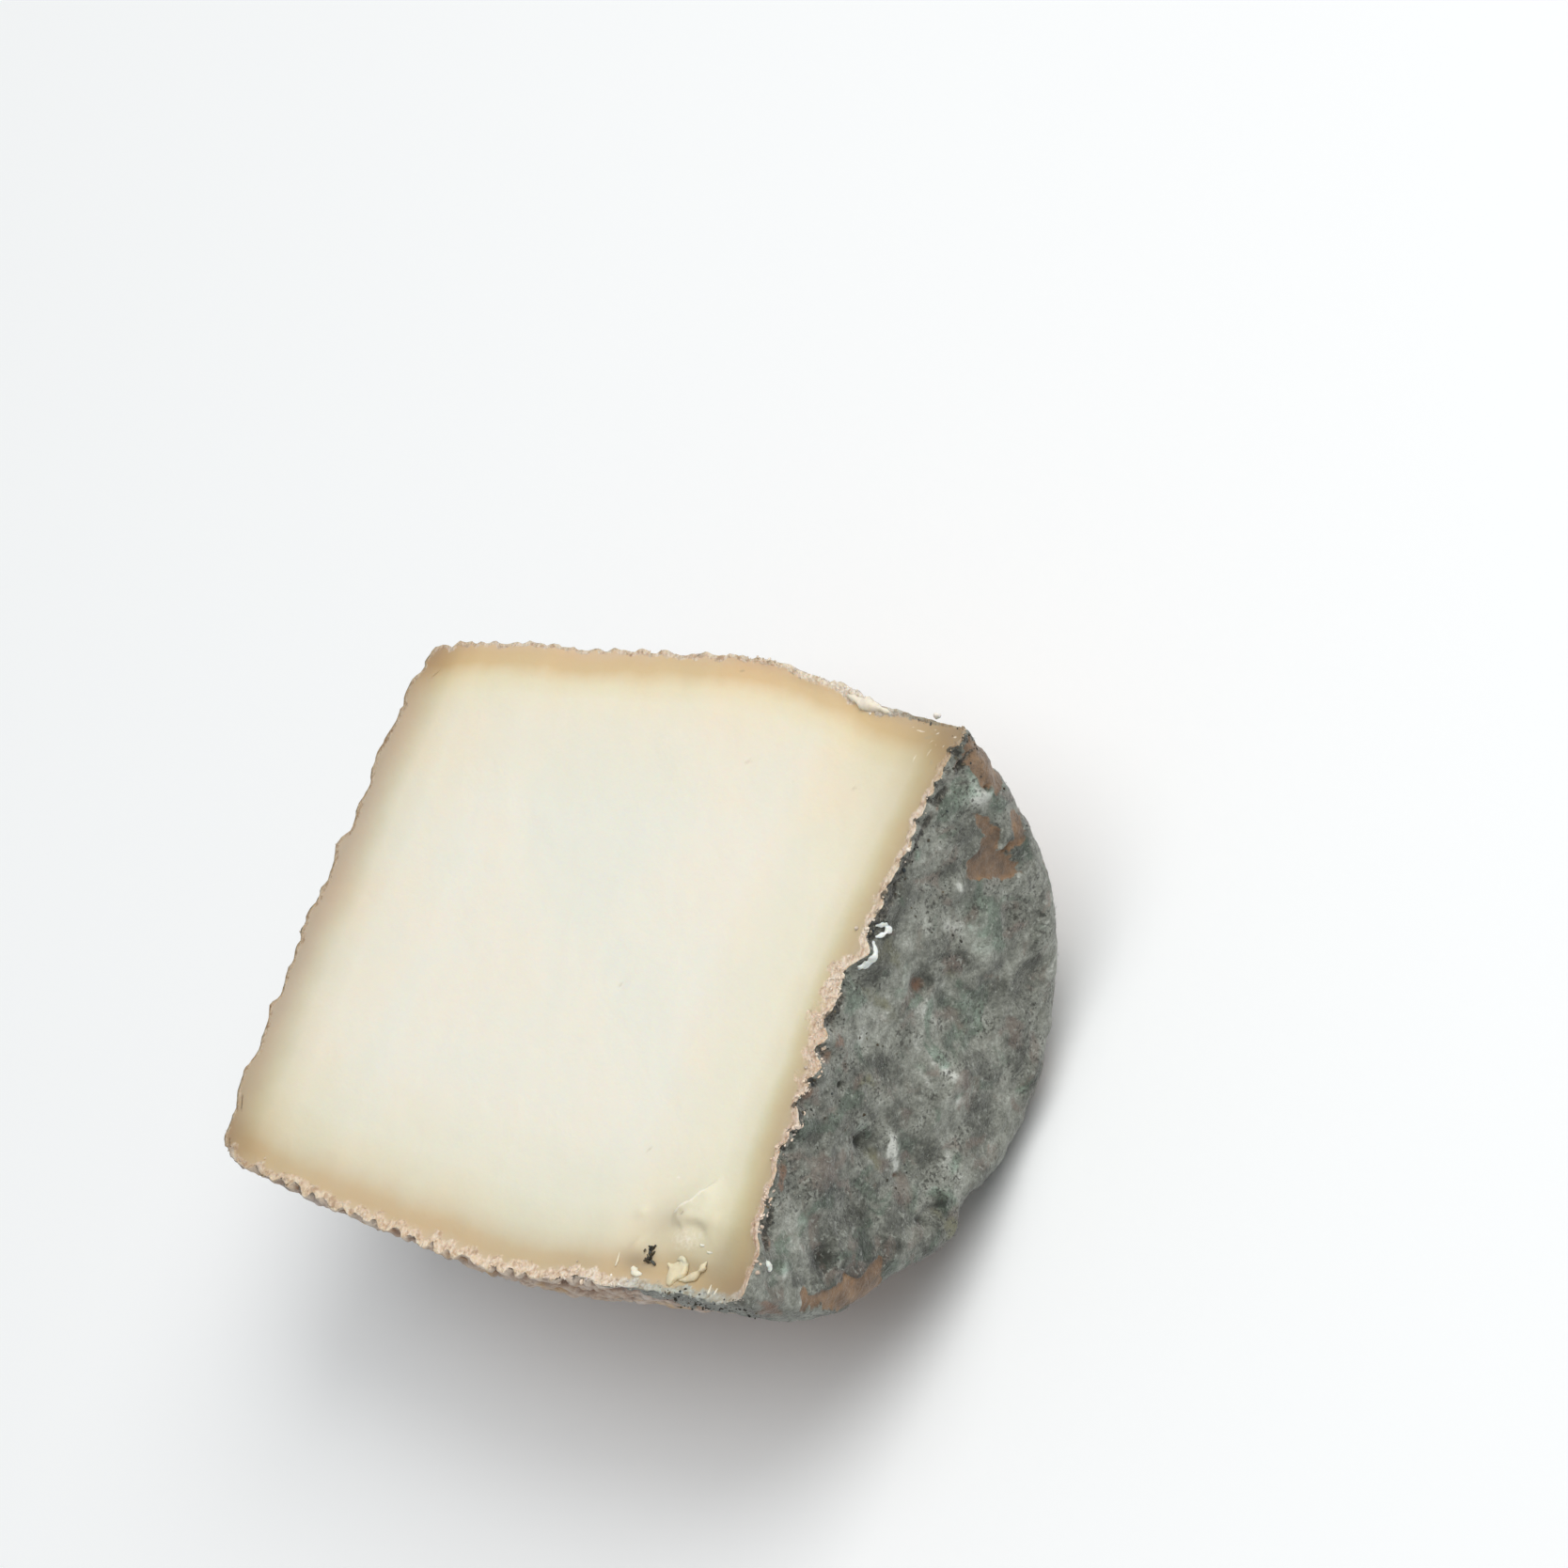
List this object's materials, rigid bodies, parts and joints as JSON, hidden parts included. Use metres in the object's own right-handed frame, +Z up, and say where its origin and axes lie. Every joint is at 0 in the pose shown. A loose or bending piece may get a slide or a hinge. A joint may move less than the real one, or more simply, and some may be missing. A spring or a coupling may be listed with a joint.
{
  "type": "half cheese wheel",
  "caption": "Upright farmhouse goat's cheese cut in half lengthwise, pale paste up, with a wrinkled rind and one mouldy end.",
  "frame": {"origin": "under the middle of the half cheese, on the surface that its belly rests on", "axes": "+X along the cheese's own axis towards the mouldy end, +Y across the cut face, +Z up, square to the cut face"},
  "size_m": [0.0814, 0.0695, 0.0339],
  "materials": {
    "cheese": "matt ivory paste with a darker edge, under a dull tan and grey natural rind"
  },
  "bodies": {
    "root": {"half_cheese": "cheese"}
  },
  "joints": []
}
